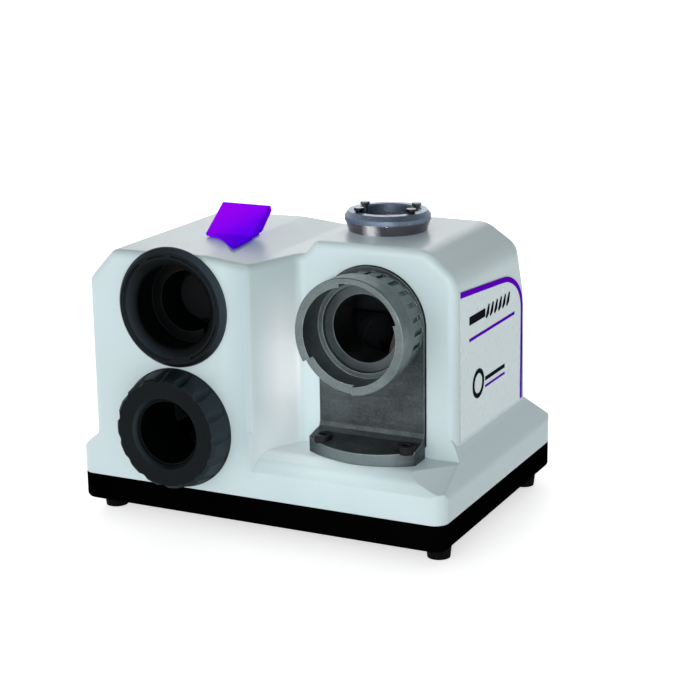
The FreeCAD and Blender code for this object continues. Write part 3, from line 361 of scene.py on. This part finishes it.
def turned_metal(name, c1, c2, axis, centre, rough=(0.22, 0.42), metallic=1.0, pitch=5200.0, depth=0.00003, edge_col=None, streak_highlight=None):
    """Turned metal: fine concentric lines round an axis through centre."""
    m = Mat(name)
    mp = m.n.new("ShaderNodeMapping")
    mp.inputs["Location"].default_value = [-c for c in centre]
    m.link(m.co, mp.inputs["Vector"])
    sep = m.n.new("ShaderNodeSeparateXYZ")
    m.link(mp.outputs["Vector"], sep.inputs[0])
    ax = {"X": 0, "Y": 1, "Z": 2}[axis]
    others = [i for i in range(3) if i != ax]
    rad = m.math("SQRT", m.math("ADD", m.math("POWER", sep.outputs[others[0]], 2.0), m.math("POWER", sep.outputs[others[1]], 2.0)))
    comb = m.n.new("ShaderNodeCombineXYZ")
    m.link(rad, comb.inputs[0])
    m.link(sep.outputs[ax], comb.inputs[1])
    lines = m.noise(pitch * 0.5, 3.0, 0.7, comb.outputs[0])
    mott = m.noise(35.0, 6.0, 0.6)
    col = m.ramp(mott, [(0.30, c1), (0.70, c2)])
    col = m.mix(m.val(lines, 0.0, 0.45, 0.35, 0.7), col, (c2[0] * 1.35, c2[1] * 1.35, c2[2] * 1.35, 1))
    if streak_highlight:
        # painted highlight: a bright, less metallic band down the front
        off = m.math("ABSOLUTE", m.math("ADD", sep.outputs[0], m.math("MULTIPLY", m.math("SUBTRACT", m.noise(300.0, 3.0), 0.5), 0.004)))
        front = m.val(sep.outputs[1], 1.0, 0.0, -0.02, 0.0)
        highlight_band = m.math("MULTIPLY", m.val(off, 1.0, 0.0, 0.0022, 0.0088), front)
        col = m.mix(m.math("MULTIPLY", highlight_band, 0.95), col, streak_highlight)
        m.link(m.math("SUBTRACT", metallic, m.math("MULTIPLY", highlight_band, 0.8)), m.b.inputs["Metallic"])
    mask, nrm = m.edge(0.0008)
    # painted highlight: edges are painted lighter
    if edge_col:
        col = m.mix(m.math("MULTIPLY", mask, 0.7), col, edge_col)
    if not streak_highlight:
        m.set(Metallic=metallic)
    return m.out(col, m.val(m.math("ADD", m.math("MULTIPLY", lines, 0.5), m.math("MULTIPLY", mott, 0.5)), rough[0], rough[1]),
                 m.bump(lines, 0.35, depth, nrm))


c = lin
M_COVER = moulded("cover_paint", c(186, 204, 207), c(190, 207, 210), rough=(0.30, 0.34), grain=900.0, depth=0.00002, edge_r=0.0015,
                  edge_col=c(206, 220, 222), edge_amt=0.35, coat=0.0, spec=0.4, speck_gain=1.04, interior_shade_col=c(44, 49, 51))
M_BASE = moulded("base_black", c(1, 1, 1), c(3, 3, 3), rough=(0.55, 0.7), grain=1300.0, depth=0.00010, edge_col=c(18, 18, 20), edge_amt=0.35, spec=0.0)
M_PORT = moulded("port_black", c(9, 14, 16), c(14, 20, 23), rough=(0.36, 0.48), grain=1100.0, depth=0.00008, edge_r=0.0007,
                 edge_col=c(50, 61, 68), edge_amt=0.5, spec=0.08, painted_light_col=c(64, 76, 86), bore_shade=(-0.0712, 0.1923, 0.0362, 0.0078))
M_PORT_K = moulded("port_black_lower", c(7, 12, 14), c(11, 17, 20), rough=(0.36, 0.48), grain=1100.0, depth=0.00008, edge_r=0.0008,
                   edge_col=c(62, 75, 84), edge_amt=0.7, spec=0.08, painted_light_col=c(52, 64, 71), bore_shade=(-0.0712, 0.0889, 0.0287, 0.0008), up=0.15)
M_PORT_IN = moulded("port_inner", c(6, 8, 9), c(10, 12, 14), rough=(0.5, 0.62), grain=1100.0, depth=0.00008, edge_r=0.0007,
                    edge_col=c(28, 34, 38), edge_amt=0.5, spec=0.1)
M_RUBBER = moulded("feet_rubber", c(4, 4, 4), c(8, 8, 8), rough=(0.7, 0.85), grain=900.0, depth=0.00018, spec=0.05)
M_SCREW = cast("black_oxide", c(10, 11, 12), c(20, 21, 23), c(70, 74, 77), rough=(0.3, 0.45), metallic=0.5, grain=1400.0, depth=0.00004, edge_amt=0.6)
M_SCREW.node_tree.nodes["Principled BSDF"].inputs["Specular IOR Level"].default_value = 0.2
M_ZINC = cast("zinc_plate", c(150, 152, 150), c(182, 184, 184), c(215, 216, 216), rough=(0.25, 0.42), metallic=1.0, grain=900.0, depth=0.00003)


def bracket_metal():
    """Cast plate with rubbed, lighter edges; the front of its shelf is painted lighter as a painted highlight."""
    m = Mat("cast_bracket")
    mott = m.noise(38.0, 9.0, 0.66)
    col = m.ramp(mott, [(0.30, c(50, 56, 58)), (0.70, c(76, 83, 85))])
    grit = m.noise(520.0, 4.0, 0.62)
    col = m.mix(m.val(grit, 0.0, 0.13, 0.45, 0.75), col, c(136, 146, 148))
    scr = m.noise(1.0, 5.0, 0.7, m.mapping((30.0, 30.0, 260.0)))
    col = m.mix(m.val(scr, 0.0, 0.22, 0.5, 0.72), col, c(120, 130, 132))
    g = m.n.new("ShaderNodeNewGeometry")
    sp = m.n.new("ShaderNodeSeparateXYZ")
    sn = m.n.new("ShaderNodeSeparateXYZ")
    m.link(m.co, sp.inputs[0])
    m.link(g.outputs["Normal"], sn.inputs[0])
    # painted highlight: the front of the shelf, turned towards the front, is painted lighter than the plate
    ymask = m.val(sp.outputs[1], 1.0, 0.0, -0.0965, -0.0885)
    nmask = m.val(sn.outputs[1], 1.0, 0.0, -0.75, -0.35)
    shelf_front_highlight = m.math("MULTIPLY", ymask, nmask)
    col = m.mix(m.math("MULTIPLY", shelf_front_highlight, 0.72), col, c(112, 125, 127))
    mask, nrm = m.edge(0.0013, 0.01, 0.2)
    wear = m.math("MULTIPLY", mask, m.val(m.noise(70.0, 5.0), 0.35, 1.0))
    col = m.mix(m.math("MULTIPLY", wear, 0.75), col, c(165, 175, 176))
    m.set(Metallic=0.85)
    return m.out(col, m.val(m.noise(160.0, 6.0), 0.42, 0.62), m.bump(grit, 0.5, 0.00012, nrm))


M_BRACKET = bracket_metal()
M_SEAT = cast("seat_metal", c(86, 96, 97), c(106, 117, 118), c(204, 212, 213), rough=(0.34, 0.5), metallic=0.9, grain=800.0, depth=0.00004,
              edge_r=0.0008, edge_amt=1.0, grit_amt=0.12, bore_wall_shade=(0.0891, 0.1837, c(46, 52, 54)))
M_SLEEVE = turned_metal("sleeve_metal", c(62, 68, 70), c(84, 91, 93), "Y", (0.0891, 0.0, 0.1837), rough=(0.28, 0.45), edge_col=c(150, 157, 158))
M_RING_CAP = cast("ring_anodised", c(92, 106, 126), c(112, 127, 146), c(170, 184, 200), rough=(0.3, 0.45), metallic=0.8, grain=900.0, depth=0.00005,
                  edge_r=0.0008)
M_RING_STEEL = turned_metal("ring_steel", c(108, 102, 113), c(146, 134, 143), "Z", (0.0694, 0.0033, 0.0), rough=(0.14, 0.3), edge_col=c(200, 198, 204), streak_highlight=c(226, 222, 226))


def violet():
    """Glossy violet moulding that turns bluer towards its lower right, with dark edges."""
    m = Mat("violet_flap")
    sp = m.n.new("ShaderNodeSeparateXYZ")
    m.link(m.co, sp.inputs[0])
    drift = m.math("ADD", m.math("MULTIPLY", sp.outputs[0], 18.0), m.math("MULTIPLY", sp.outputs[2], -30.0))
    drift = m.math("ADD", drift, m.math("MULTIPLY", m.noise(55.0, 3.0), 0.35))
    fac = m.val(drift, 0.0, 1.0, -8.75, -7.75)
    col = m.ramp(fac, [(0.0, c(166, 5, 255)), (0.45, c(146, 4, 255)), (1.0, c(84, 1, 250))])
    mask, nrm = m.edge(0.0007, 0.01, 0.16)
    col = m.mix(m.math("MULTIPLY", mask, 0.9), col, c(50, 0, 110))
    fine = m.noise(900.0, 2.0)
    # painted light: a faint violet emission makes the moulding glow brighter
    m.set(Specular_IOR_Level=0.0, Emission_Color=c(110, 4, 255), Emission_Strength=0.16)
    return m.out(col, m.val(m.noise(60.0, 5.0), 0.28, 0.38), m.bump(fine, 0.3, 0.00004, nrm))


M_VIOLET = violet()
M_LABEL = moulded("label_film", c(194, 211, 213), c(199, 215, 216), rough=(0.22, 0.3), grain=2500.0, depth=0.00001, spec=0.4)
M_STRIPE = moulded("label_violet", c(92, 2, 184), c(102, 6, 198), rough=(0.25, 0.32), grain=2500.0, depth=0.00001, spec=0.0)
M_INK = moulded("label_ink", c(18, 22, 30), c(28, 32, 40), rough=(0.3, 0.4), grain=2500.0, depth=0.00001, spec=0.0)
M_PIN = cast("pin_steel", c(70, 76, 80), c(104, 112, 116), c(186, 194, 198), rough=(0.22, 0.36), metallic=0.95, grain=900.0, depth=0.00003, edge_amt=0.8,
             near_dark=(0.0023, 0.0043, c(22, 30, 36)))
M_WHEEL = cast("abrasive", c(70, 62, 58), c(108, 96, 90), c(190, 182, 176), rough=(0.8, 0.95), metallic=0.0, grain=1500.0, depth=0.0004)
M_MOTOR = moulded("motor_enamel", c(26, 30, 34), c(36, 40, 44), rough=(0.35, 0.5), edge_col=c(90, 94, 98), spec=0.2)
M_COPPER = cast("windings", c(120, 70, 40), c(170, 104, 62), c(214, 150, 100), metallic=0.9, grain=500.0, depth=0.0003)
M_BOARD = moulded("circuit_board", c(18, 74, 40), c(26, 92, 50), rough=(0.4, 0.5), spec=0.2)
M_INLET = moulded("inlet_nylon", c(6, 6, 7), c(12, 12, 13), rough=(0.4, 0.52), edge_col=c(40, 40, 44), spec=0.12)
M_BRASS = cast("brass_pin", c(180, 150, 84), c(206, 176, 104), c(236, 214, 156), metallic=1.0)

by_slot = {
    "cover_white": M_COVER, "base_black": M_BASE, "port_black": M_PORT, "feet_rubber": M_RUBBER, "screw_steel": M_SCREW, "zinc_steel": M_ZINC,
    "cast_bracket": M_BRACKET, "seat_metal": M_SEAT, "ring_anodised": M_RING_CAP, "ring_steel": M_RING_STEEL, "violet_plastic": M_VIOLET,
    "label_film": M_LABEL, "wheel_abrasive": M_WHEEL, "motor_paint": M_MOTOR, "copper_iron": M_COPPER, "board_green": M_BOARD,
    "inlet_black": M_INLET, "brass_pin": M_BRASS,
}
slot_of = {s["node"]: s["material_slot"] for s in frame["record"]["subparts"]}
for name, o in N.items():
    m = by_slot[slot_of[name]]
    if name == "point_seat_sleeve":
        m = M_SLEEVE
    if name in ("fluted_collar", "relief_seat_flange", "relief_lock_ring"):
        m = M_PORT_K
    if name in ("top_seat_pins",):
        m = M_PIN
    if name in ("gauge_stop",):
        m = M_PORT_IN
    if not o.material_slots:
        o.data.materials.append(m)
    for s in o.material_slots:
        s.material = m


# ------------------------------------------------------------------ helpers for new pieces
def piece(name, bm, mat, body, smooth_angle=35.0):
    me = bpy.data.meshes.new(name)
    bmesh.ops.recalc_face_normals(bm, faces=bm.faces[:])
    bm.to_mesh(me)
    bm.free()
    for p in me.polygons:
        p.use_smooth = True
    me.set_sharp_from_angle(angle=math.radians(smooth_angle))
    o = bpy.data.objects.new(name, me)
    COL.objects.link(o)
    me.materials.append(mat)
    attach(o, body)
    return o


def band(name, path, width, x0, thick, mat, body):
    """A thin strip on a plane of constant x, along a path of (y, z), as wide at each point as width says."""
    bm = bmesh.new()
    rows = []
    n = len(path)
    for i, (y, z) in enumerate(path):
        a = path[max(0, i - 1)]
        b = path[min(n - 1, i + 1)]
        t = Vector((b[0] - a[0], b[1] - a[1])).normalized()
        nrm = Vector((-t[1], t[0]))
        w = width[i] / 2
        p, q = Vector((y, z)) + nrm * w, Vector((y, z)) - nrm * w
        rows.append([bm.verts.new((x0, p[0], p[1])), bm.verts.new((x0 + thick, p[0], p[1])),
                     bm.verts.new((x0 + thick, q[0], q[1])), bm.verts.new((x0, q[0], q[1]))])
    for r0, r1 in zip(rows, rows[1:]):
        for k in range(4):
            bm.faces.new((r0[k], r0[(k + 1) % 4], r1[(k + 1) % 4], r1[k]))
    bm.faces.new(rows[0])
    bm.faces.new(rows[-1][::-1])
    return piece(name, bm, mat, body)


# ------------------------------------------------------------------ label border and plain marks on the right wall
lo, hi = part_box("side_label")
X1 = hi[0]
y_f, y_r, z_b, z_t = lo[1], hi[1], lo[2], hi[2]
OFF = 0.0105
knots = [(-0.0690, 0.21160), (-0.0400, 0.20935), (-0.0050, 0.20660), (0.0240, 0.20425), (0.0360, 0.20235), (0.0470, 0.19830), (0.0560, 0.19300),
         (0.0620, 0.18720), (0.0657, 0.18150), (0.0679, 0.17500), (0.0684, 0.1680), (0.0685, 0.1450), (0.0686, 0.1150), (0.0687, 0.0893)]


def smooth_path(pts, per=5):
    out = []
    for i in range(len(pts) - 1):
        p0, p1, p2, p3 = (Vector(pts[max(0, min(len(pts) - 1, j))]) for j in (i - 1, i, i + 1, i + 2))
        for k in range(per):
            t = k / per
            q = 0.5 * ((2 * p1) + (p2 - p0) * t + (2 * p0 - 5 * p1 + 4 * p2 - p3) * t * t + (3 * p1 - p0 - 3 * p2 + p3) * t ** 3)
            out.append((q[0], q[1]))
    out.append(tuple(pts[-1]))
    return out


path = [(a + OFF, b2) for a, b2 in smooth_path(knots)]
width = [0.0050 - 0.0006 * min(1.0, i / 30.0) for i in range(len(path))]
band("label_border", path, width, X1 + 0.00002, 0.00025, M_STRIPE, "frame")
# a plain drawing of a twist drill over a rule, and a wheel, where a printed name would be
rule = [(-0.0500 + OFF + 0.1010 * k / 8, 0.1700) for k in range(9)]
band("label_rule", rule, [0.0026] * 9, X1 + 0.00002, 0.0002, M_STRIPE, "frame")
for j, (y0, y1, zc, w) in enumerate(((-0.050, -0.016, 0.1860, 0.0070), (-0.012, 0.030, 0.1860, 0.0110))):
    if j == 0:
        band("label_shank", [(y0 + OFF + (y1 - y0) * k / 6, zc) for k in range(7)], [w] * 7, X1 + 0.00002, 0.0002, M_INK, "frame")
for k in range(6):
    yy = -0.0140 + 0.0092 * k
    band("label_flute_%d" % k, [(yy + OFF, 0.1808), (yy + OFF + 0.0036, 0.1845), (yy + OFF + 0.0066, 0.1912)], [0.0024, 0.0054, 0.0024],
         X1 + 0.00002, 0.0002, M_INK, "frame")
ringpath = [(-0.030 + OFF + 0.0105 * math.cos(2 * math.pi * k / 36), 0.1290 + 0.0105 * math.sin(2 * math.pi * k / 36)) for k in range(36)]
band("label_wheel", ringpath + [ringpath[0]], [0.0040] * 37, X1 + 0.00002, 0.0002, M_INK, "frame")
band("label_wheel_bar", [(-0.0150 + OFF + 0.0440 * k / 6, 0.1290) for k in range(7)], [0.0034] * 7, X1 + 0.00002, 0.0002, M_INK, "frame")
band("label_wheel_rule", [(-0.0150 + OFF + 0.0440 * k / 6, 0.1225) for k in range(7)], [0.0020] * 7, X1 + 0.00002, 0.0002, M_STRIPE, "frame")

floor_mesh = bpy.data.meshes.new("floor")
bm = bmesh.new()
bmesh.ops.create_grid(bm, x_segments=1, y_segments=1, size=14.0)
bm.to_mesh(floor_mesh)
bm.free()
floor = bpy.data.objects.new("floor", floor_mesh)
COL.objects.link(floor)
fm = Mat("floor_pale")
fcol = fm.ramp(fm.noise(3.0, 3.0), [(0.3, (0.90, 0.90, 0.90, 1)), (0.7, (0.93, 0.93, 0.93, 1))])
fm.set(Emission_Color=(1.0, 1.0, 1.0, 1.0), Emission_Strength=0.62)
fm.out(fcol, fm.val(fm.noise(40.0), 0.55, 0.65))
floor_mesh.materials.append(fm.m)
